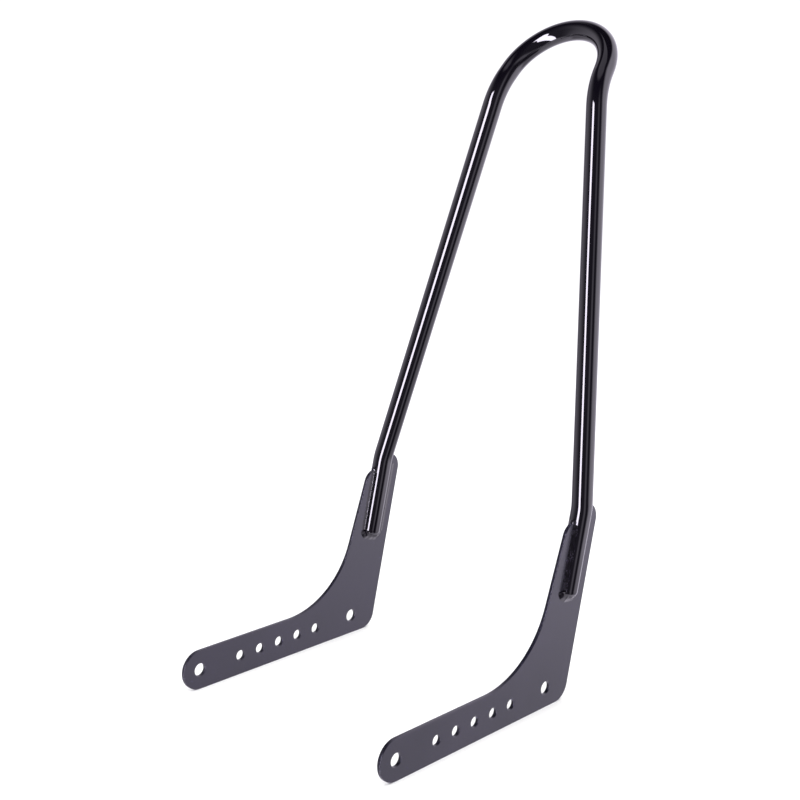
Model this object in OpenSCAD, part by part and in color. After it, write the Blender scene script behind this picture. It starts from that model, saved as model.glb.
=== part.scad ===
// Sissy bar: a round-bar hoop welded into two flat side plates.
// X runs across the vehicle, Y backwards, Z up. The origin lies midway between
// the two front bolt holes.

/* [Hoop] */
// Diameter of the round bar
bar_d = 16; // [12:1:20]
// Distance between the middles of the side plates, and of the feet in them
span = 206; // [180:1:240]
// Backward lean of the legs, in degrees
lean = 13.3; // [8:0.1:18]
// Height of the hoop's top above the bolt line
height = 490.6; // [430:1:530]
// Distance from the rear bolt hole back to the leg's centre line, at bolt height
leg_behind = 7.5; // [2:0.5:10]
// Height of the bar's foot above the bolt line
foot_z = 66.5; // [50:0.5:80]
// Chamfer on the bar's foot
foot_chamfer = 2; // [1:0.5:3]
// Height at which the legs turn inward
turn_z = 131.6; // [128:0.1:150]
// Inward angle of the legs, in degrees
turn_in = 9.8; // [6:0.1:10.5]
// Centre-line radius of the inward turn
turn_r = 50; // [40:1:70]
// Backward lean of the kicked top, in degrees
kick_lean = 40; // [30:0.5:50]
// Inward angle of the kicked top, in degrees
kick_in = 8.1; // [5:0.1:12]
// Centre-line radius of the kick
kick_r = 63; // [50:1:80]
// Straight run between the kick and the top arc
kick_run = 5; // [1:0.5:12]

/* [Side plates] */
// Thickness of the side plates
plate_t = 3; // [2:0.5:6]
// Width of the lower arm
arm_w = 31; // [28:0.5:36]
// Distance from the leg's centre line back to the plate's rear edge, at bolt height
rear_margin = 20.5; // [18:0.5:26]
// Lean of the rear edge, in degrees
rear_lean = 13; // [11:0.1:15]
// Distance from the leg's centre line forward to the corner between arm and upright
front_margin = 25.8; // [23:0.1:34]
// Lean of the upright's front edge, in degrees
front_lean = 20; // [18:0.1:22]
// Height of the top in front of the bar, where it would cross the leg's centre line
top_z = 123.8; // [116:0.1:130]
// Slope of the top in front of the bar, in degrees
top_slope = 10; // [0:0.5:24]
// Height of the horn behind the bar, where its top would cross the leg's centre line
horn_z = 132.5; // [126:0.1:138]
// Slope of the horn's top, in degrees
horn_slope = 25; // [15:0.5:32]
// Fillet between arm and upright
fillet_r = 72; // [50:1:80]
// Radius of the lower rear corner
heel_r = 14; // [8:0.5:16]
// Radius of the top's front corner
brow_r = 12; // [6:0.5:14]
// Radius of the horn's rear corner
crown_r = 12; // [6:0.5:14]
// Clearance between the bar and its slot, on each side
slot_fit = 0.1; // [0.05:0.05:0.3]

/* [Bolt holes] */
// Diameter of the two large holes
large_d = 10; // [8:0.5:13]
// Distance between the two large holes
large_span = 161; // [156:0.5:168]
// Diameter of the row of small holes
small_d = 8; // [6:0.5:10]
// Distance from the front hole to the first small one
small_first = 40; // [30:0.5:44]
// Distance from one small hole to the next
small_pitch = 20; // [14:0.5:22]
// How many small holes
small_count = 5; // [3:1:5]

/* [Welds] */
// Size of the bead along the front of the bar
front_bead_r = 3; // [2.5:0.25:4]
// Size of the bead along the back of the bar
back_bead_r = 1.5; // [1:0.25:2.5]
// Size of the bead around the foot
foot_bead_r = 2.75; // [2.25:0.25:4]
// How far below the bar's foot that bead is laid
foot_drop = 0.5; // [0.25:0.25:1.5]
// Size of the lump at the slot's mouth
mouth_r = 3; // [2:0.25:4]
// How far the lump stands out over each face of the plate
mouth_over = 2; // [1:0.25:3]
// Depth below the slot's mouth at which the front beads meet the lump
mouth_depth = 1; // [0.5:0.25:2]

/* [Hidden] */
$fn = 64;
bar_r = bar_d / 2;
leg_x = span / 2;
leg_back = large_span + leg_behind;
rear_back = leg_back + rear_margin;
front_back = leg_back - front_margin;
arm_r = arm_w / 2;
slot_w = bar_d + 2 * slot_fit;
// More than any cut has to reach
far = 400;
// How much larger a bend is than the straight bar that runs into it, and how far that runs in
swell = 0.05;
run_in = 0.5;

// Directions of the leg in the plate, above it, and of the kicked top, on the right side
leg_dir = [0, sin(lean), cos(lean)];
upper_dir = [-sin(turn_in), cos(turn_in) * sin(lean), cos(turn_in) * cos(lean)];
top_dir = [-sin(kick_in), cos(kick_in) * sin(kick_lean), cos(kick_in) * cos(kick_lean)];

// Corners of the hoop's centre line, on the right side
turn = [leg_x, leg_back + turn_z * tan(lean), turn_z];
kick_t = kick_r * tan(acos(upper_dir * top_dir) / 2);
// Height of the kick's corner, from the hoop's own height: the legs close in as they rise,
// and the top arc gets smaller with them
taper = -upper_dir[0] / upper_dir[2];
arc_rise = top_dir[2] / (1 + sin(kick_in));
kick_z = (height - bar_r - (kick_t + kick_run) * (top_dir[2] - arc_rise * sin(kick_in))
    - arc_rise * (leg_x + taper * turn_z)) / (1 - arc_rise * taper);
kick = turn + upper_dir * (kick_z - turn_z) / upper_dir[2];
// The top arc is centred between the legs, so its tangent length is its corner's own x
crown_x = (kick[0] - sin(kick_in) * (kick_t + kick_run)) / (1 + sin(kick_in));
crown = kick + top_dir * (kick_t + kick_run + crown_x);
top_r = crown_x / tan((90 - kick_in) / 2);

// Lengths along the leg, from where its centre line meets the bolt line
foot_v = foot_z / cos(lean);
bend_v = turn_z / cos(lean) - turn_r * tan(turn_in / 2);

// The plate's outline, in Y and Z
rear_line = [sin(rear_lean), cos(rear_lean)];
front_line = [sin(front_lean), cos(front_lean)];
top_line = [cos(top_slope), sin(top_slope)];
horn_line = [cos(horn_slope), sin(horn_slope)];
leg_line = [sin(lean), cos(lean)];
leg_side = [cos(lean), -sin(lean)];
leg_start = [leg_back, 0];
top_point = [leg_back + top_z * tan(lean), top_z];
horn_point = [leg_back + horn_z * tan(lean), horn_z];
heel = meet([rear_back, 0], rear_line, [0, -arm_r], [1, 0]);
nape = meet([rear_back, 0], rear_line, horn_point, horn_line);
brow = meet([front_back, arm_r], front_line, top_point, top_line);
elbow = [front_back, arm_r];
nose_low = [0, -arm_r];
nose_high = [0, arm_r];
// Both tops are drawn on to the front of the bar, inside the slot
bar_front = leg_start - leg_side * bar_r;
mouth = meet(bar_front, leg_line, top_point, top_line);
horn_end = meet(bar_front, leg_line, horn_point, horn_line);
mouth_v = (mouth - leg_start) * leg_line;
// How far up the leg the welds are cut to the bar
weld_v = max(bend_v, mouth_v + mouth_r);
// Where the beads turn round the foot, along the leg
bead_v = foot_v - foot_drop;

SIDES = ["left", "right"];

function unit(v) = v / norm(v);

// Where the line through p along a meets the line through q along b, in 2D
function meet(p, a, q, b) =
    p + a * ((q[0] - p[0]) * b[1] - (q[1] - p[1]) * b[0]) / (a[0] * b[1] - a[1] * b[0]);

// Rounding of the corner p between its neighbours a and b: tangent length and circle centre
function half_angle(p, a, b) = acos(unit(a - p) * unit(b - p)) / 2;
function tangent(p, a, b, r) = r / tan(half_angle(p, a, b));
function on_edge(p, a, d) = p + unit(a - p) * d;
function centre(p, a, b, r) = p + unit(unit(a - p) + unit(b - p)) * r / sin(half_angle(p, a, b));

// Stands its children at a point, with their X and Z axes along the two directions
module stand(at, x_axis, z_axis) {
    y_axis = cross(z_axis, x_axis);
    multmatrix([
        [x_axis[0], y_axis[0], z_axis[0], at[0]],
        [x_axis[1], y_axis[1], z_axis[1], at[1]],
        [x_axis[2], y_axis[2], z_axis[2], at[2]]]) children();
}

// Straight round bar from p to q, between two bends that it runs into
module straight(p, q) {
    z_axis = unit(q - p);
    x_axis = unit(cross([0, 1, 0], z_axis));
    stand(p - z_axis * run_in, x_axis, z_axis) cylinder(r = bar_r, h = norm(q - p) + 2 * run_in);
}

// Bent round bar at a corner of the centre line, where it changes direction
module bend(corner, dir_in, dir_out, r) {
    angle = acos(dir_in * dir_out);
    start = corner - dir_in * r * tan(angle / 2);
    z_axis = unit(cross(dir_in, dir_out));
    inward = cross(z_axis, dir_in);
    stand(start + inward * r, -inward, z_axis)
        rotate_extrude(angle = angle) translate([r, 0]) circle(r = bar_r + swell);
}

// One leg of the hoop, from its foot to the start of the top arc
module leg() {
    turn_t = turn_r * tan(turn_in / 2);
    in_leg() bar_foot(bend_v + run_in);
    bend(turn, leg_dir, upper_dir, turn_r);
    straight(turn + upper_dir * turn_t, kick - upper_dir * kick_t);
    bend(kick, upper_dir, top_dir, kick_r);
    straight(kick + top_dir * kick_t, crown - top_dir * crown_x);
}

module hoop() {
    // The top arc runs from the right leg over to the left one
    z_axis = unit(cross(top_dir, [-1, 0, 0]));
    start = crown - top_dir * crown_x;
    inward = cross(z_axis, top_dir);
    color("#15151a") {
        leg();
        mirror([1, 0, 0]) leg();
        stand(start + inward * top_r, -inward, z_axis)
            rotate_extrude(angle = 2 * (90 - kick_in)) translate([top_r, 0])
                circle(r = bar_r + swell);
    }
}

// The leg's own frame in the right plate: Z along the bar, Y to the back, X outward
module in_leg() {
    translate([leg_x, leg_back, 0]) rotate([-lean, 0, 0]) children();
}

// The chamfered foot and the bar above it, up to a given length along the leg
module bar_foot(top_v) {
    translate([0, 0, foot_v]) cylinder(r1 = bar_r - foot_chamfer, r2 = bar_r, h = foot_chamfer);
    translate([0, 0, foot_v + foot_chamfer])
        cylinder(r = bar_r, h = top_v - foot_v - foot_chamfer);
}

module plate_outline() {
    heel_t = tangent(heel, nose_low, nape, heel_r);
    nape_t = tangent(nape, heel, horn_end, crown_r);
    brow_t = tangent(brow, mouth, elbow, brow_r);
    elbow_t = tangent(elbow, brow, nose_high, fillet_r);
    difference() {
        union() {
            circle(r = arm_r);
            polygon([
                nose_low,
                on_edge(heel, nose_low, heel_t), on_edge(heel, nape, heel_t),
                on_edge(nape, heel, nape_t), on_edge(nape, horn_end, nape_t),
                horn_end, mouth,
                on_edge(brow, mouth, brow_t), on_edge(brow, elbow, brow_t),
                on_edge(elbow, brow, elbow_t), on_edge(elbow, nose_high, elbow_t),
                nose_high]);
            translate(centre(heel, nose_low, nape, heel_r)) circle(r = heel_r);
            translate(centre(nape, heel, horn_end, crown_r)) circle(r = crown_r);
            translate(centre(brow, mouth, elbow, brow_r)) circle(r = brow_r);
        }
        translate(centre(elbow, brow, nose_high, fillet_r)) circle(r = fillet_r);
    }
}

// The right plate. The left one is its mirror image.
module plate() {
    translate([leg_x - plate_t / 2, 0, 0]) rotate([90, 0, 90]) linear_extrude(plate_t)
        difference() {
            plate_outline();
            translate(leg_start) rotate(-lean)
                translate([-slot_w / 2, foot_v - slot_fit]) square([slot_w, far]);
            for (y = [0, large_span]) translate([y, 0]) circle(d = large_d);
            for (i = [0 : small_count - 1])
                translate([small_first + i * small_pitch, 0]) circle(d = small_d);
        }
}

// Everything on the plate's side of one face. face is 1 for the outer face, -1 for the inner.
module behind_face(face) {
    translate([face * (plate_t / 2 - far / 2), 0, 0]) cube(far, center = true);
}

// Rod along the corner between bar and plate, round at the foot. edge is -1 in front, 1 behind.
module side_rod(face, edge, r) {
    top_v = edge < 0 ? mouth_v - mouth_depth : bend_v;
    translate([face * plate_t / 2, edge * bar_r, bead_v]) {
        sphere(r = r);
        cylinder(r = r, h = top_v - bead_v);
    }
}

module side_weld(face, edge, r) {
    in_leg() difference() {
        side_rod(face, edge, r);
        bar_foot(weld_v);
        behind_face(face);
    }
}

module foot_weld(face) {
    in_leg() difference() {
        translate([face * plate_t / 2, -bar_r, bead_v]) rotate([-90, 0, 0])
            cylinder(r = foot_bead_r, h = bar_d);
        bar_foot(weld_v);
        behind_face(face);
        side_rod(face, -1, front_bead_r);
        side_rod(face, 1, back_bead_r);
    }
}

// The lump that wraps over the plate's edge in front of the bar, where the slot opens
module mouth_weld() {
    reach = plate_t / 2 + mouth_over;
    difference() {
        in_leg() difference() {
            translate([-reach, -bar_r, mouth_v]) rotate([0, 90, 0])
                cylinder(r = mouth_r, h = 2 * reach);
            bar_foot(weld_v);
            translate([-far / 2, -far / 2, mouth_v - mouth_depth - far]) cube(far);
        }
        plate();
    }
}

// Puts the right-hand piece on the side that is asked for
module on_side(side) {
    mirror([side == "left" ? 1 : 0, 0, 0]) children();
}

PLATE_COLOUR = "#4c4a55";
WELD_COLOUR = "#1d1c21";

hoop();
for (side = SIDES) {
    color(PLATE_COLOUR) on_side(side) plate();
    color(WELD_COLOUR) on_side(side) side_weld(1, -1, front_bead_r);
    color(WELD_COLOUR) on_side(side) side_weld(1, 1, back_bead_r);
    color(WELD_COLOUR) on_side(side) foot_weld(1);
    color(WELD_COLOUR) on_side(side) side_weld(-1, -1, front_bead_r);
    color(WELD_COLOUR) on_side(side) side_weld(-1, 1, back_bead_r);
    color(WELD_COLOUR) on_side(side) foot_weld(-1);
    color(WELD_COLOUR) on_side(side) mouth_weld();
}
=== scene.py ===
# %% [markdown]
# # Dressing a welded sissy bar
# The object is a motorcycle sissy bar: one round steel bar bent into a tall hoop, its feet welded
# into slots at the top of two flat side plates, and all of it painted black. The CAD model gives
# every piece its true size and place. This notebook gives the pieces their looks: a smooth bent
# bar, plates with softly rounded edges, weld beads with their ripples, and black paint of four
# sheens.

# %% Load the frame
import bpy
import math
from mathutils import Matrix, Vector, noise


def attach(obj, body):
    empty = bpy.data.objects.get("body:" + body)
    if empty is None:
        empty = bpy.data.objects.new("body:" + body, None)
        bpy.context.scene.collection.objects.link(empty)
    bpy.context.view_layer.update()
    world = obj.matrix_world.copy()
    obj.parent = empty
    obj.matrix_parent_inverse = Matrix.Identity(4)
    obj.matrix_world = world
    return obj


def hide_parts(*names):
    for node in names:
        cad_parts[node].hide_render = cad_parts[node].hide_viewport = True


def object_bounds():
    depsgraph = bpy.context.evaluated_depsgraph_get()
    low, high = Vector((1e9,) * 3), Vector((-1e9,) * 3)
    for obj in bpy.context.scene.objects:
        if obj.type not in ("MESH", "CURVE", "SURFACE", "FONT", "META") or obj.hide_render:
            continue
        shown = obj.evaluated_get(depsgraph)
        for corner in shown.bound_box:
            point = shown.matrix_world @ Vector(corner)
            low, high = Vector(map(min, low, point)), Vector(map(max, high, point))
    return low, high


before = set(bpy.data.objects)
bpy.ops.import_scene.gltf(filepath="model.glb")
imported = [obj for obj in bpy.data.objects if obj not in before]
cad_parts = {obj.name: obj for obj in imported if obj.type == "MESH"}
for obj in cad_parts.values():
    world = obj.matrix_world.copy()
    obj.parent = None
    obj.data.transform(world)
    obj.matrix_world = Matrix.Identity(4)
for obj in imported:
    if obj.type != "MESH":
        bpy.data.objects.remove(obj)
cad_low, cad_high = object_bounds()
MM = 0.001
print("CAD box in metres:", [round(v, 4) for v in (*cad_low, *cad_high)])

# %% [markdown]
# ## The camera
# The photograph looks down a little at the bar from in front, on its right side. The camera is
# placed first, because every later choice is judged through it. A lens of 61 mm on a sensor of
# 36 mm gives the photograph's strong perspective: the near plate is drawn larger than the far one.

# %% Camera
CAMERA_AT = Vector((0.6683, -0.6016, 0.4226))
CAMERA_LOOKS = Vector((-0.6691, 0.7121, -0.2126))
CAMERA_ROLL = math.radians(-0.84)
LENS_MM = 61.08

bpy.ops.object.camera_add(location=CAMERA_AT)
camera = bpy.context.object
camera.name = "photo_camera"
camera.data.lens = LENS_MM
camera.data.sensor_width = 36
camera.data.clip_start = 0.01
camera.data.clip_end = 50
level = CAMERA_LOOKS.to_track_quat("-Z", "Y").to_matrix()
camera.rotation_euler = (Matrix.Rotation(CAMERA_ROLL, 3, CAMERA_LOOKS) @ level).to_euler()
bpy.context.scene.camera = camera
print("camera", round((CAMERA_AT - (cad_low + cad_high) / 2).length, 3), "m from the object")

# %% [markdown]
# ## Sizes that the pieces share
# The bar's centre line is worked out again here from the same few driving sizes as the CAD model,
# because a swept bar needs its corners and bend radii and not only its box.

# %% The bar's centre line
BAR_R = 8 * MM
LEG_X = 103 * MM
LEG_BACK = 168.5 * MM
LEAN = math.radians(13.3)
FOOT_Z = 66.5 * MM
FOOT_ROUND = 3.8 * MM
TURN_Z = 131.6 * MM
TURN_IN = math.radians(9.8)
TURN_R = 50 * MM
KICK_Z = 437 * MM
KICK_LEAN = math.radians(40)
KICK_IN = math.radians(8.1)
KICK_R = 63 * MM
KICK_RUN = 5 * MM


def direction(inward, back):
    """A direction that leans inward from the right side and backward from upright."""
    return Vector((-math.sin(inward), math.cos(inward) * math.sin(back),
                   math.cos(inward) * math.cos(back)))


leg_dir = direction(0, LEAN)
upper_dir = direction(TURN_IN, LEAN)
top_dir = direction(KICK_IN, KICK_LEAN)
leg_foot = Vector((LEG_X, LEG_BACK + FOOT_Z * math.tan(LEAN), FOOT_Z))
turn = Vector((LEG_X, LEG_BACK + TURN_Z * math.tan(LEAN), TURN_Z))
kick = turn + upper_dir * (KICK_Z - TURN_Z) / upper_dir.z
kick_tangent = KICK_R * math.tan(upper_dir.angle(top_dir) / 2)
crown_x = (kick.x - math.sin(KICK_IN) * (kick_tangent + KICK_RUN)) / (1 + math.sin(KICK_IN))
crown = kick + top_dir * (kick_tangent + KICK_RUN + crown_x)
top_r = crown_x / math.tan((math.pi / 2 - KICK_IN) / 2)
print("top arc radius", round(top_r / MM, 2), "mm")
print("apex at z", round((crown.z + BAR_R) / MM, 1), "mm")


# %% Helpers for modelling by hand
def nothing_selected():
    """Leaves object mode with nothing selected, so that an operator acts on its own piece only."""
    if bpy.context.object and bpy.context.object.mode != "OBJECT":
        bpy.ops.object.mode_set(mode="OBJECT")
    bpy.ops.object.select_all(action="DESELECT")


def only(piece):
    """Selects one object and makes it the active one."""
    nothing_selected()
    piece.select_set(True)
    bpy.context.view_layer.objects.active = piece


def settle(piece):
    """Applies the object's place, turn and size to its mesh."""
    only(piece)
    bpy.ops.object.transform_apply(location=True, rotation=True, scale=True)


def finish_modifier(piece, kind, **values):
    """Adds a modifier with these values and applies it at once."""
    only(piece)
    bpy.ops.object.modifier_add(type=kind)
    modifier = piece.modifiers[-1]
    for name, value in values.items():
        setattr(modifier, name, value)
    bpy.ops.object.modifier_apply(modifier=modifier.name)

# %% [markdown]
# ## The hoop
# The real hoop is one round bar that was bent cold. A curve with a round bevel would do, but
# extruding and spinning a ring gives true circular bends, as the bending machine does. The ring
# goes straight up to where a bend starts, is spun about the bend's centre, and goes on.

# %% Sweep a bar along a bent centre line
BAR_SIDES = 128
SPIN_STEP = 0.75 * MM
FEWEST_STEPS = 4


def bent_bar(name, points, radii):
    """A round bar from the first point to the last, with a bend of each radius in between."""
    nothing_selected()
    first = (points[1] - points[0]).normalized()
    bpy.ops.mesh.primitive_circle_add(vertices=BAR_SIDES, radius=BAR_R, fill_type="NGON",
                                      location=points[0],
                                      rotation=first.to_track_quat("Z", "X").to_euler())
    piece = bpy.context.object
    piece.name = name
    bpy.ops.object.mode_set(mode="EDIT")
    bpy.ops.mesh.select_all(action="SELECT")
    here = points[0]
    for before, corner, after, radius in zip(points, points[1:], points[2:], radii):
        way_in = (corner - before).normalized()
        way_out = (after - corner).normalized()
        angle = way_in.angle(way_out)
        start = corner - way_in * radius * math.tan(angle / 2)
        axis = way_in.cross(way_out).normalized()
        bpy.ops.mesh.extrude_region_move(TRANSFORM_OT_translate={"value": start - here})
        # Spin turns clockwise about its axis, so the angle is given as negative
        steps = max(FEWEST_STEPS, round(radius * angle / SPIN_STEP))
        bpy.ops.mesh.spin(steps=steps, angle=-angle, center=start + axis.cross(way_in) * radius,
                          axis=axis)
        here = corner + way_out * radius * math.tan(angle / 2)
    bpy.ops.mesh.extrude_region_move(TRANSFORM_OT_translate={"value": points[-1] - here})
    bpy.ops.object.mode_set(mode="OBJECT")
    settle(piece)
    return piece


def mirrored(point):
    """The same point on the left side."""
    return Vector((-point.x, point.y, point.z))


peak = kick + top_dir * kick.x / math.sin(KICK_IN)
right_side = [leg_foot, turn, kick]
hoop = bent_bar("hoop_bar", right_side + [peak] + [mirrored(p) for p in reversed(right_side)],
                [TURN_R, KICK_R, top_r, KICK_R, TURN_R])

# %% [markdown]
# The saw cut at each foot is dressed round before welding, so its rim gets a wide bevel. Only
# the two rims are sharp on this piece, which makes them easy to select by their angle.

# %% Round the feet
WELD_TOGETHER = 0.001 * MM
RIM_ANGLE = math.radians(60)
RIM_SEGMENTS = 7
SMOOTH_UNDER = math.radians(35)

only(hoop)
bpy.ops.object.mode_set(mode="EDIT")
bpy.ops.mesh.select_all(action="SELECT")
bpy.ops.mesh.remove_doubles(threshold=WELD_TOGETHER)
bpy.ops.mesh.normals_make_consistent(inside=False)
bpy.ops.mesh.select_all(action="DESELECT")
bpy.ops.mesh.edges_select_sharp(sharpness=RIM_ANGLE)
bpy.ops.mesh.bevel(offset=FOOT_ROUND, segments=RIM_SEGMENTS, affect="EDGES")
bpy.ops.object.mode_set(mode="OBJECT")
bpy.ops.object.shade_smooth_by_angle(angle=SMOOTH_UNDER)
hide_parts("hoop")
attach(hoop, "root")
print("hoop:", len(hoop.data.polygons), "faces")

# %% [markdown]
# ## The side plates
# The plates are cut from sheet and their edges are broken with a file, so that paint holds there.
# Their outline is already right in the CAD model. A copy of each is welded together from its loose
# triangles, and every sharp edge, around the holes too, gets a small round bevel that catches
# light as a thin line.

# %% Round the plates' edges
EDGE_ROUND = 0.45 * MM
EDGE_SEGMENTS = 3
EDGE_ANGLE = math.radians(50)
FLAT_ANGLE = math.radians(0.5)
TRIANGLES_MEET = 0.002 * MM


def softened_copy(node, name, width):
    """A copy of a CAD node with its sharp edges rounded."""
    piece = bpy.data.objects.new(name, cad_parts[node].data.copy())
    bpy.context.scene.collection.objects.link(piece)
    only(piece)
    bpy.ops.object.mode_set(mode="EDIT")
    bpy.ops.mesh.select_all(action="SELECT")
    bpy.ops.mesh.remove_doubles(threshold=TRIANGLES_MEET)
    bpy.ops.mesh.dissolve_limited(angle_limit=FLAT_ANGLE)
    bpy.ops.object.mode_set(mode="OBJECT")
    finish_modifier(piece, "BEVEL", width=width, segments=EDGE_SEGMENTS, limit_method="ANGLE",
                    angle_limit=EDGE_ANGLE, use_clamp_overlap=False)
    bpy.ops.object.shade_smooth_by_angle(angle=SMOOTH_UNDER)
    # The flat faces keep one even shade right up to their rounded edges
    finish_modifier(piece, "WEIGHTED_NORMAL", weight=100, keep_sharp=True)
    return piece


plates = {}
for side in ("left", "right"):
    plate = softened_copy(side + "_plate", side + "_side_plate", EDGE_ROUND)
    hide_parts(side + "_plate")
    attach(plate, "root")
    plates[side] = plate
    print(plate.name, len(plate.data.polygons), "faces")

# %% [markdown]
# ## The weld beads
# A hand-laid bead is a row of overlapping puddles, each a little shell-shaped ripple, and it fills
# the corner between bar and plate with a slope that is flat, bulging or hollow. Every bead starts
# as a plain cylinder with many rings. Each ring is moved to its place along the joint, cut to that
# slope and swollen by the ripples. Last, what would lie inside the bar or the plate is pressed out
# onto their surfaces, as molten metal would be.

# %% The leg's own frame
PLATE_HALF = 1.5 * MM
TOP_Z = 123.8 * MM
TOP_SLOPE = math.radians(10)
FOOT_V = FOOT_Z / math.cos(LEAN)
BEND_V = TURN_Z / math.cos(LEAN) - TURN_R * math.tan(TURN_IN / 2)
leg_frame = Matrix.Translation((LEG_X, LEG_BACK, 0)) @ Matrix.Rotation(-LEAN, 4, "X")
# Height along the leg at which the plate's sloping top meets the front of the bar
MOUTH_V = TOP_Z / math.cos(LEAN) - BAR_R * math.tan(TOP_SLOPE + LEAN)
print("slot from", round(FOOT_V / MM, 1), "to", round(MOUTH_V / MM, 1), "mm along the leg")


# %% Ripples and roughness
# The height in a puddle at which the bead keeps its plain size
PLAIN_HEIGHT = 0.6
# The second, smaller noise is this much finer and taken from another place
FINER = 2.3
ELSEWHERE = Vector((7, 3, 5))


def ripple(s):
    """The height of a row of overlapping puddles at s, in puddles: round backs, sharp valleys."""
    place = 2 * (s - math.floor(s)) - 1
    return math.sqrt(max(0.0, 1 - place * place)) - PLAIN_HEIGHT


def rough(point, grain):
    """A smooth random height between about -1 and 1 at a point, with lumps of the size grain."""
    return noise.noise(point / grain) + 0.5 * noise.noise(point * FINER / grain + ELSEWHERE)


def press_out(point, face):
    """Moves a point of a bead out of the bar and onto the plate's face, in the leg's frame."""
    if point.x * face < PLATE_HALF:
        point.x = face * PLATE_HALF
    from_axis = math.hypot(point.x, point.y)
    if from_axis < BAR_R and point.z > FOOT_V + FOOT_ROUND:
        grow = BAR_R / max(from_axis, WELD_TOGETHER)
        point.x *= grow
        point.y *= grow
    return point


print("ripple from", ripple(0), "to", ripple(0.5))

# %% The slopes of a bead
def flat_skin(out, rise, bulge=0):
    """A bead whose skin is a slope from out on the plate to rise up the bar, flat or with a slight
    bulge. The function that comes back says how far it lies from the joint towards (away, up)."""
    curved_back = BAR_R - math.sqrt(BAR_R ** 2 - (PLATE_HALF + rise) ** 2)

    def skin(away, up):
        reach = out / max(away + max(up, 0) * (out + curved_back) / rise, 0.05)
        reach *= 1 + bulge * math.sin(math.pi * max(0, min(1, 2 * math.atan2(up, away) / math.pi)))
        return out if up <= 0 else min(reach, math.hypot(rise, curved_back) * (1 + bulge))
    return skin


def hollow_skin(radius):
    """A bead whose skin is hollow: an arc of this radius that runs smoothly into plate and bar."""
    tangent = math.sqrt((BAR_R + radius) ** 2 - (PLATE_HALF + radius) ** 2) - BAR_R

    def skin(away, up):
        towards = away * tangent + up * radius
        inside = towards * towards - tangent * tangent
        return towards - math.sqrt(inside) if inside > 0 and towards > 0 else tangent
    return skin


print("flat skin halfway round:", round(flat_skin(4 * MM, 2 * MM)(0.7, 0.7) / MM, 1), "mm thick")

# %% A cylinder with many rings
BEAD_SIDES = 40
RING_STEP = 0.45 * MM


def ringed_cylinder(name, length):
    """A cylinder with a radius of 1 and from -1 to 1 in height, with a ring for every step."""
    nothing_selected()
    bpy.ops.mesh.primitive_cylinder_add(vertices=BEAD_SIDES, radius=1, depth=2,
                                        end_fill_type="NGON")
    piece = bpy.context.object
    piece.name = name
    bpy.ops.object.mode_set(mode="EDIT")
    bpy.ops.mesh.select_all(action="DESELECT")
    bpy.ops.mesh.select_mode(type="EDGE")
    bpy.ops.object.mode_set(mode="OBJECT")
    for edge in piece.data.edges:
        ends = [piece.data.vertices[i].co.z for i in edge.vertices]
        edge.select = abs(ends[0] - ends[1]) > 1
    bpy.ops.object.mode_set(mode="EDIT")
    bpy.ops.mesh.subdivide(number_cuts=round(length / RING_STEP) - 1)
    bpy.ops.object.mode_set(mode="OBJECT")
    return piece


# %% Lay one bead along a joint
LUMP_GRAIN = 2.5 * MM
# How far a ripple bows forward at the crest of the bead, in puddles
BOW = 0.22
# What one step of the seed moves the lumps by, and the ripples in puddles
DRIFT = Vector((11.3, 5.7, 3.1)) * MM
PHASE = 0.37
# The least share of a bead's height that is left at its very end, squared
END_LEFT = 0.02
BEAD_SMOOTH = math.radians(50)


def bead(name, side, face, path, length, skin, run, seed):
    """A rippled bead on one face of one plate. path gives the joint's point and the way along the
    plate away from the bar, in the leg's frame; face is 1 outside and -1 inside."""
    end, pitch, swell, lumps = run
    piece = ringed_cylinder(name, length)
    outward = Vector((face, 0, 0))
    for vertex in piece.data.vertices:
        along = (vertex.co.z + 1) / 2 * length
        middle, away = path(along)
        up_part, away_part = vertex.co.x, vertex.co.y
        height = skin(away_part, up_part)
        height *= (1 + swell * ripple(along / pitch + up_part * BOW + seed * PHASE)
                   + lumps * rough(middle + DRIFT * seed + outward * up_part * end, LUMP_GRAIN))
        to_end = min(along, length - along)
        if to_end < end:
            height *= math.sqrt(max(END_LEFT, 1 - (1 - to_end / end) ** 2))
        vertex.co = middle + (outward * up_part + away * away_part) * height
        vertex.co = press_out(vertex.co, face)
    piece.data.transform(leg_frame)
    if side == "left":
        piece.data.transform(Matrix.Scale(-1, 4, Vector((1, 0, 0))))
    only(piece)
    bpy.ops.object.mode_set(mode="EDIT")
    bpy.ops.mesh.select_all(action="SELECT")
    bpy.ops.mesh.normals_make_consistent(inside=False)
    bpy.ops.object.mode_set(mode="OBJECT")
    bpy.ops.object.shade_smooth_by_angle(angle=BEAD_SMOOTH)
    return piece


# %% Paths of the three beads on a face
FOOT_PATH_LENGTH = 20 * MM


def side_path(face, edge, bottom):
    """Straight up along the bar: edge is -1 in front of it and 1 behind it."""
    return lambda along: (Vector((face * PLATE_HALF, edge * BAR_R, bottom + along)),
                          Vector((0, edge, 0)))


def foot_path(face):
    """A half ellipse round the foot's rounded rim, from the front of the bar to its back."""
    def path(along):
        turned = math.pi * along / FOOT_PATH_LENGTH
        across, down = -math.cos(turned), math.sin(turned)
        point = Vector((face * PLATE_HALF, across * BAR_R, FOOT_V + FOOT_ROUND * (1 - down)))
        return point, Vector((0, across / BAR_R, -down / FOOT_ROUND)).normalized()
    return path


lowest = foot_path(1)(FOOT_PATH_LENGTH / 2)[0]
print("lowest joint at", round(lowest.z / MM, 1), "mm along the leg")

# %% Weld both plates
# How long a run's round ends are, its ripples' pitch, their height and that of its lumps
RUNS = {"front": (2.5 * MM, 5 * MM, 0.035, 0.07),
        "back": (1.2 * MM, 3.5 * MM, 0.01, 0.02),
        "foot": (1.2 * MM, 4 * MM, 0.08, 0.14)}
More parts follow.
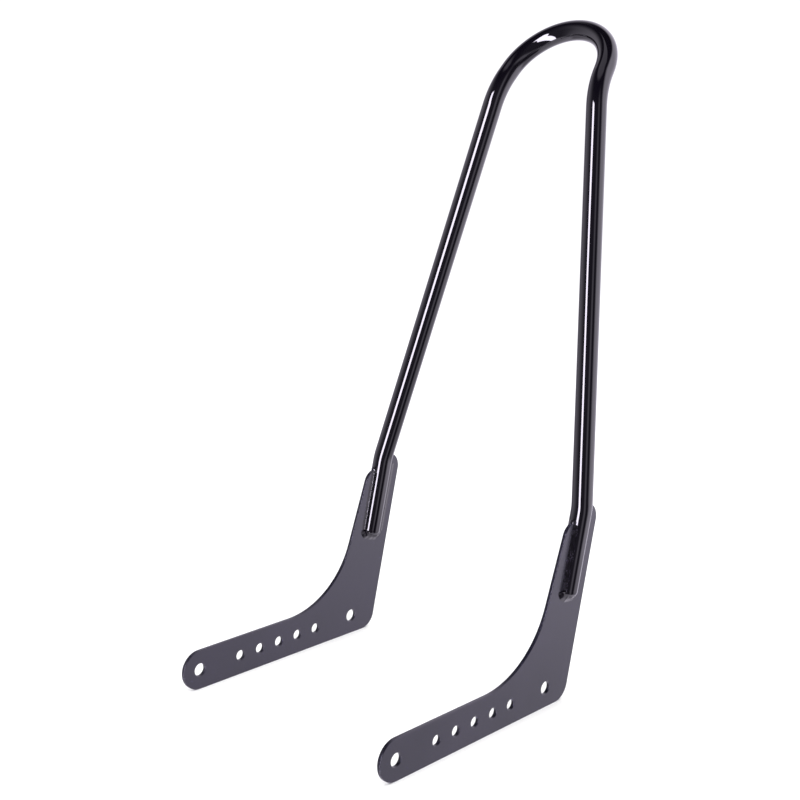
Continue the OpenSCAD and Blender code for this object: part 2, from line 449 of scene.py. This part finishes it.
# The welder's hand differed from face to face
FRONT_SKINS = {("right", "outer"): flat_skin(1.5 * MM, 3.0 * MM),
               ("left", "inner"): flat_skin(4.2 * MM, 1.8 * MM),
               ("right", "inner"): flat_skin(2.0 * MM, 2.4 * MM),
               ("left", "outer"): hollow_skin(3.0 * MM)}
BACK_SKINS = {"right": flat_skin(5.0 * MM, 3.1 * MM, 0.06),
              "left": flat_skin(5.6 * MM, 2.4 * MM, 0.28)}
FOOT_SKIN = flat_skin(4.8 * MM, 3.4 * MM, 0.16)
# The runs end a little inside the lump above and the run below
OVERLAP = 1 * MM
FRONT_TOP = MOUTH_V - OVERLAP
SIDE_START = FOOT_V + FOOT_ROUND - OVERLAP
welds = []
for side in ("left", "right"):
    for face, word in ((1, "outer"), (-1, "inner")):
        seed = len(welds) + 1
        plans = {"front": (side_path(face, -1, SIDE_START), FRONT_TOP - SIDE_START,
                           FRONT_SKINS[side, word]),
                 "back": (side_path(face, 1, SIDE_START), BEND_V - SIDE_START, BACK_SKINS[side]),
                 "foot": (foot_path(face), FOOT_PATH_LENGTH, FOOT_SKIN)}
        for nth, (place, (joint, length, skin)) in enumerate(plans.items()):
            piece = bead(f"{side}_{word}_{place}_bead", side, face, joint, length, skin,
                         RUNS[place], seed + nth)
            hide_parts(f"{side}_{word}_{place}_weld")
            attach(piece, "root")
            welds.append(piece)
print(len(welds), "beads,", sum(len(w.data.polygons) for w in welds), "faces")

# %% [markdown]
# Where the slot opens, the front beads of both faces run together over the plate's edge in one
# bright round lump. It is a ball with a rough skin, and it bridges the plate's thickness.

# %% Lumps at the slots' mouths
MOUTH_R = 2.6 * MM
MOUTH_REACH = 3.1 * MM
# The lump's mean radius and the height of its roughness, as shares of its full radius
MOUTH_MEAN = 0.9
MOUTH_ROUGH = 0.1
for side in ("left", "right"):
    nothing_selected()
    bpy.ops.mesh.primitive_uv_sphere_add(segments=40, ring_count=24, radius=1)
    lump = bpy.context.object
    lump.name = side + "_mouth_lump"
    for vertex in lump.data.vertices:
        spot = vertex.co * MOUTH_R + Vector((len(side) * MM, 0, 0))
        swollen = MOUTH_MEAN + MOUTH_ROUGH * rough(spot, LUMP_GRAIN)
        vertex.co = Vector((vertex.co.x * MOUTH_REACH * swollen,
                            vertex.co.y * MOUTH_R * swollen - BAR_R,
                            vertex.co.z * MOUTH_R * swollen + MOUTH_V))
    lump.data.transform(leg_frame)
    if side == "left":
        lump.data.transform(Matrix.Scale(-1, 4, Vector((1, 0, 0))))
        lump.data.flip_normals()
    only(lump)
    bpy.ops.object.shade_smooth()
    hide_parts(side + "_mouth_weld")
    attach(lump, "root")
    welds.append(lump)
print("lumps at", round(MOUTH_V / MM, 1), "mm along the leg")

# %% [markdown]
# ## Paint
# All the steel is black, but not alike. The bar is smooth and mirrors the studio; the flat plates
# have a satin coat that looks slate grey in the light; the welds are glossy or dull by their size.
# The four coats share one effect, the fine waviness and uneven sheen of sprayed paint, so that is
# a node group with named inputs.

# %% The sprayed skin, shared by the paints
def sprayed_skin():
    """A node group: fine waves in the coat, and patches of more and less sheen."""
    group = bpy.data.node_groups.new("sprayed_skin", "ShaderNodeTree")
    face = group.interface
    for name, value in (("Wave Size", 600.0), ("Wave Height", 0.02), ("Patch Size", 30.0),
                        ("Smoothest", 0.05), ("Roughest", 0.12)):
        socket = face.new_socket(name=name, in_out="INPUT", socket_type="NodeSocketFloat")
        socket.default_value = value
    face.new_socket(name="Roughness", in_out="OUTPUT", socket_type="NodeSocketFloat")
    face.new_socket(name="Patch", in_out="OUTPUT", socket_type="NodeSocketFloat")
    face.new_socket(name="Normal", in_out="OUTPUT", socket_type="NodeSocketVector")
    nodes, links = group.nodes, group.links
    inputs = nodes.new("NodeGroupInput")
    outputs = nodes.new("NodeGroupOutput")
    place = nodes.new("ShaderNodeTexCoord")
    waves = nodes.new("ShaderNodeTexNoise")
    waves.inputs["Detail"].default_value = 3
    patches = nodes.new("ShaderNodeTexNoise")
    patches.inputs["Detail"].default_value = 4
    bump = nodes.new("ShaderNodeBump")
    bump.inputs["Strength"].default_value = 1
    spread = nodes.new("ShaderNodeMapRange")
    spread.inputs["From Min"].default_value = 0.3
    spread.inputs["From Max"].default_value = 0.7
    height = nodes.new("ShaderNodeMath")
    height.operation = "MULTIPLY"
    links.new(place.outputs["Object"], waves.inputs["Vector"])
    links.new(inputs.outputs["Wave Size"], waves.inputs["Scale"])
    links.new(place.outputs["Object"], patches.inputs["Vector"])
    links.new(inputs.outputs["Patch Size"], patches.inputs["Scale"])
    links.new(waves.outputs["Fac"], height.inputs[0])
    links.new(inputs.outputs["Wave Height"], height.inputs[1])
    links.new(height.outputs["Value"], bump.inputs["Height"])
    links.new(patches.outputs["Fac"], spread.inputs["Value"])
    links.new(inputs.outputs["Smoothest"], spread.inputs["To Min"])
    links.new(inputs.outputs["Roughest"], spread.inputs["To Max"])
    links.new(spread.outputs["Result"], outputs.inputs["Roughness"])
    links.new(patches.outputs["Fac"], outputs.inputs["Patch"])
    links.new(bump.outputs["Normal"], outputs.inputs["Normal"])
    return group


spray = sprayed_skin()
print("spray group with", len(spray.nodes), "nodes")


def paint(name, colours, tint, ior, waves, patch_size, sheen):
    """A coat of black paint whose colour and sheen change a little over the surface. waves is
    their fineness and their height in millimetres; sheen is the least and the most roughness."""
    material = bpy.data.materials.new(name)
    material.use_nodes = True
    nodes, links = material.node_tree.nodes, material.node_tree.links
    shader = nodes["Principled BSDF"]
    shader.inputs["IOR"].default_value = ior
    shader.inputs["Specular Tint"].default_value = (*tint, 1)
    coat = nodes.new("ShaderNodeGroup")
    coat.node_tree = spray
    coat.inputs["Wave Size"].default_value = waves[0]
    coat.inputs["Wave Height"].default_value = waves[1] * MM
    coat.inputs["Patch Size"].default_value = patch_size
    coat.inputs["Smoothest"].default_value = sheen[0]
    coat.inputs["Roughest"].default_value = sheen[1]
    tone = nodes.new("ShaderNodeValToRGB")
    for stop, position, colour in zip(tone.color_ramp.elements, (0.35, 0.65), colours):
        stop.position = position
        stop.color = (*colour, 1)
    links.new(coat.outputs["Patch"], tone.inputs["Fac"])
    links.new(tone.outputs["Color"], shader.inputs["Base Color"])
    links.new(coat.outputs["Roughness"], shader.inputs["Roughness"])
    links.new(coat.outputs["Normal"], shader.inputs["Normal"])
    return material


# %% The four paints
NO_TINT = (1, 1, 1)
BLUE_TINT = (0.93, 0.92, 1.0)
DEEP_BLACK = ((0.0024, 0.0018, 0.0038), (0.0034, 0.0026, 0.0054))
SLATE_BLACK = ((0.004, 0.004, 0.009), (0.007, 0.006, 0.014))

bar_paint = paint("gloss_black", DEEP_BLACK, NO_TINT, 1.5, (120, 0.0004), 18, (0.02, 0.04))
plate_paint = paint("satin_black", SLATE_BLACK, BLUE_TINT, 1.49, (1400, 0.01), 22, (0.20, 0.26))
weld_paint = paint("weld_black", DEEP_BLACK, NO_TINT, 1.4, (700, 0.08), 160, (0.12, 0.34))
# The thin beads behind the bar and round its foot hold more paint and shine
fillet_paint = paint("fillet_black", DEEP_BLACK, NO_TINT, 1.5, (400, 0.01), 60, (0.05, 0.12))


def coat(piece, material):
    """Gives a piece this one material."""
    piece.data.materials.clear()
    piece.data.materials.append(material)


coat(hoop, bar_paint)
for plate in plates.values():
    coat(plate, plate_paint)
for weld in welds:
    coat(weld, fillet_paint if "back" in weld.name or "foot" in weld.name else weld_paint)
print("paints:", bar_paint.name, plate_paint.name, weld_paint.name, fillet_paint.name)

# %% [markdown]
# ## The studio
# A gloss black bar shows nothing but its surroundings, so what it mirrors is what paints its
# stripes. A photographer stands tall panels round such a bar and leaves dark gaps between them.
# One bright softbox in front draws the thin white line down each leg; a wide grey panel on either
# side draws the bands along its edges. Here those panels are painted into the world as a ramp over
# the compass, which only mirrored rays see. Everything else gets an even, soft white.

# %% Helpers for the world's nodes
world = bpy.data.worlds.new("studio")
bpy.context.scene.world = world
world.use_nodes = True
world.cycles.sampling_method = "NONE"
nodes, links = world.node_tree.nodes, world.node_tree.links
nodes.clear()


def feed(value, socket):
    """Puts a number on a socket, or links an output to it."""
    if isinstance(value, (int, float)):
        socket.default_value = value
    else:
        links.new(value, socket)


def compute(operation, *values):
    """One Math node's result."""
    node = nodes.new("ShaderNodeMath")
    node.operation = operation
    for value, socket in zip(values, node.inputs):
        feed(value, socket)
    return node.outputs["Value"]


def fade(value, start, end, at_start, at_end):
    """Slides softly from one number to another while value goes from start to end."""
    node = nodes.new("ShaderNodeMapRange")
    node.interpolation_type = "SMOOTHSTEP"
    for number, socket in zip((value, start, end, at_start, at_end), node.inputs):
        feed(number, socket)
    return node.outputs["Result"]


# %% Compass and height of a mirrored ray, in degrees
compass = nodes.new("ShaderNodeTexCoord")
parts = nodes.new("ShaderNodeSeparateXYZ")
links.new(compass.outputs["Generated"], parts.inputs["Vector"])
DEGREES = math.degrees(1)
azimuth = compute("MULTIPLY", compute("ARCTAN2", parts.outputs["Y"], parts.outputs["X"]), DEGREES)
elevation = compute("MULTIPLY", compute("ARCSINE", parts.outputs["Z"]), DEGREES)
# The panels lean a little to the right at the top, and the bright softbox leans more
leaning = compute("ADD", azimuth, fade(elevation, -15, 15, 0, 6))
strip_leaning = compute("ADD", azimuth, fade(elevation, 5, 28, 0, 13))

# %% The grey panels
# Each stop of the ramp: a bearing on the compass and how bright the panels are there
PANELS = [(-180, 0.78), (-160, 1.08), (-147, 1.02), (-132, 0.82), (-117, 0.34), (-105, 0.18),
          (-60, 0.14), (-33, 0.11), (-26, 0.45), (-21, 1.25), (-13, 1.25), (-7, 0.40), (0, 0.05),
          (12, 0.05), (20, 0.90), (27, 2.20), (36, 2.60), (60, 2.00), (90, 1.70), (120, 1.50),
          (150, 1.00), (165, 0.70), (180, 0.78)]
BRIGHTEST = 3.0
ramp = nodes.new("ShaderNodeValToRGB")
stops = ramp.color_ramp.elements
while len(stops) < len(PANELS):
    stops.new(0.5)
# The ramp sorts its stops by place, so all of them are placed before the first is coloured
for stop, (bearing, _) in zip(stops, PANELS):
    stop.position = (bearing + 180) / 360
for stop, (_, strength) in zip(stops, PANELS):
    stop.color = (*[strength / BRIGHTEST] * 3, 1)
links.new(compute("DIVIDE", compute("ADD", leaning, 180), 360), ramp.inputs["Fac"])
panel_glow = compute("MULTIPLY", ramp.outputs["Color"], BRIGHTEST)
# The right-hand panel is taller than the others
on_right = compute("GREATER_THAN", azimuth, 8)
tall_top = fade(elevation, 46, 60, 1, 0)
low_top = fade(elevation, 18, 52, 1, 0)
top_edge = compute("ADD", compute("MULTIPLY", on_right, tall_top),
                  compute("MULTIPLY", compute("SUBTRACT", 1, on_right), low_top))
panel_glow = compute("MULTIPLY", panel_glow, top_edge)
# Its nearer half is also darker towards the table
near_half = compute("MULTIPLY", on_right, fade(azimuth, 70, 88, 1, 0))
low_shade = compute("ADD", compute("MULTIPLY", near_half, fade(elevation, -26, -13, 0.55, 1.15)),
                   compute("SUBTRACT", 1, near_half))
panel_glow = compute("MULTIPLY", panel_glow, low_shade)
print(len(PANELS), "stops on the ramp")

# %% The bright softbox, the table and the dim light overhead
STRIP_BEARING = -78.5
STRIP_GLOW = 26
TABLE_GLOW = 1.7
OVERHEAD_GLOW = 0.8
GAP_GLOW = 0.012
from_strip = compute("ABSOLUTE", compute("ADD", strip_leaning, -STRIP_BEARING))
strip = compute("MULTIPLY", fade(from_strip, 9, 11, STRIP_GLOW, 0), fade(elevation, 31, 34, 1, 0))
table = fade(elevation, -60, -50, 1, 0)
above_table = compute("MULTIPLY", compute("ADD", panel_glow, strip), compute("SUBTRACT", 1, table))
glow = compute("ADD", above_table, compute("MULTIPLY", table, TABLE_GLOW))
overhead = compute("MULTIPLY", fade(elevation, 58, 66, 0, OVERHEAD_GLOW),
                   fade(azimuth, -20, 0, 1, 0))
glow = compute("ADD", compute("ADD", glow, overhead), GAP_GLOW)

# %% The world: white to the eye and to soft shading, panels to a mirror
path = nodes.new("ShaderNodeLightPath")
room = nodes.new("ShaderNodeBackground")
room.inputs["Color"].default_value = (1, 1, 1, 1)
room.inputs["Strength"].default_value = 1.1
panels = nodes.new("ShaderNodeBackground")
panels.inputs["Color"].default_value = (1, 0.94, 1.10, 1)
links.new(glow, panels.inputs["Strength"])
choose = nodes.new("ShaderNodeMixShader")
out = nodes.new("ShaderNodeOutputWorld")
links.new(path.outputs["Is Glossy Ray"], choose.inputs["Fac"])
links.new(room.outputs["Background"], choose.inputs[1])
links.new(panels.outputs["Background"], choose.inputs[2])
links.new(choose.outputs["Shader"], out.inputs["Surface"])
bpy.context.scene.view_settings.view_transform = "Standard"
print("world with", len(nodes), "nodes")

# %% Lights for soft shading
AIM = Vector((0, 0.22, 0.25))


def softbox(name, bearing, height_angle, distance, width, power):
    """A square light that looks at the object. Its bearing is counted from +X towards +Y."""
    turn_by, lift = math.radians(bearing), math.radians(height_angle)
    away = Vector((math.cos(turn_by) * math.cos(lift), math.sin(turn_by) * math.cos(lift),
                   math.sin(lift)))
    nothing_selected()
    bpy.ops.object.light_add(type="AREA", location=AIM + away * distance)
    light = bpy.context.object
    light.name = name
    light.data.shape = "RECTANGLE"
    light.data.size = width
    light.data.size_y = width
    light.data.energy = power
    light.rotation_euler = away.to_track_quat("Z", "Y").to_euler()
    light.visible_camera = False
    light.visible_glossy = False
    return light


softbox("front_softbox", -80, 35, 2.0, 1.2, 12)
softbox("overhead_softbox", 40, 75, 2.2, 1.8, 18)
print("two softboxes")

# %% A pale floor
nothing_selected()
bpy.ops.mesh.primitive_plane_add(size=60, location=(0, 0, cad_low.z))
floor = bpy.context.object
floor.name = "pale_floor"
floor.visible_glossy = False
floor_paint = bpy.data.materials.new("pale_floor")
floor_paint.use_nodes = True
floor_shader = floor_paint.node_tree.nodes["Principled BSDF"]
floor_shader.inputs["Base Color"].default_value = (0.99, 0.99, 0.99, 1)
floor_shader.inputs["Roughness"].default_value = 1
floor_shader.inputs["Specular IOR Level"].default_value = 0
coat(floor, floor_paint)
